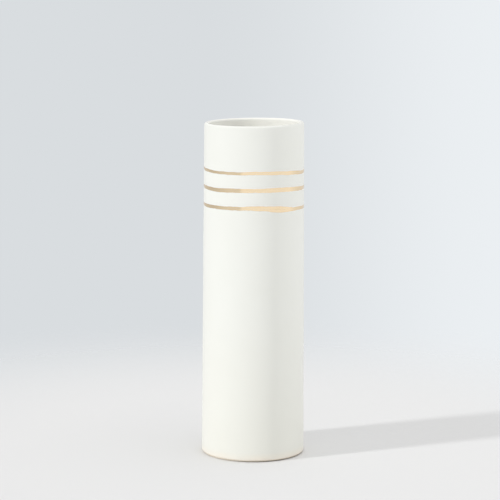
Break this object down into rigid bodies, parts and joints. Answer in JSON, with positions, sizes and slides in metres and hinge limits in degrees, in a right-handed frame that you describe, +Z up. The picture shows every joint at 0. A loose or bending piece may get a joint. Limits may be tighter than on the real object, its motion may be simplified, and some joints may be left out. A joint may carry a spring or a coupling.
{
  "type": "porcelain vase",
  "caption": "Tall straight cylinder vase in white satin-glazed porcelain with thin gold bands painted near the rim, open at the top for cut stems.",
  "frame": {"origin": "centre of the foot, on the surface that the vase stands on", "axes": "+Z up along the vase's axis, towards the open rim; the vase is round about it, so X and Y are free"},
  "size_m": [0.09, 0.09, 0.292],
  "materials": {
    "bare_porcelain": "matte",
    "satin_glaze": "satin",
    "liner_glaze": "gloss",
    "gold_lustre": "polished"
  },
  "bodies": {
    "root": {"porcelain_wall": "bare_porcelain", "base_disc": "bare_porcelain", "corner_coil": "bare_porcelain", "outer_glaze": "satin_glaze", "liner_glaze": "liner_glaze", "gold_band_upper": "gold_lustre", "gold_band_middle": "gold_lustre", "gold_band_lower": "gold_lustre"}
  },
  "joints": []
}
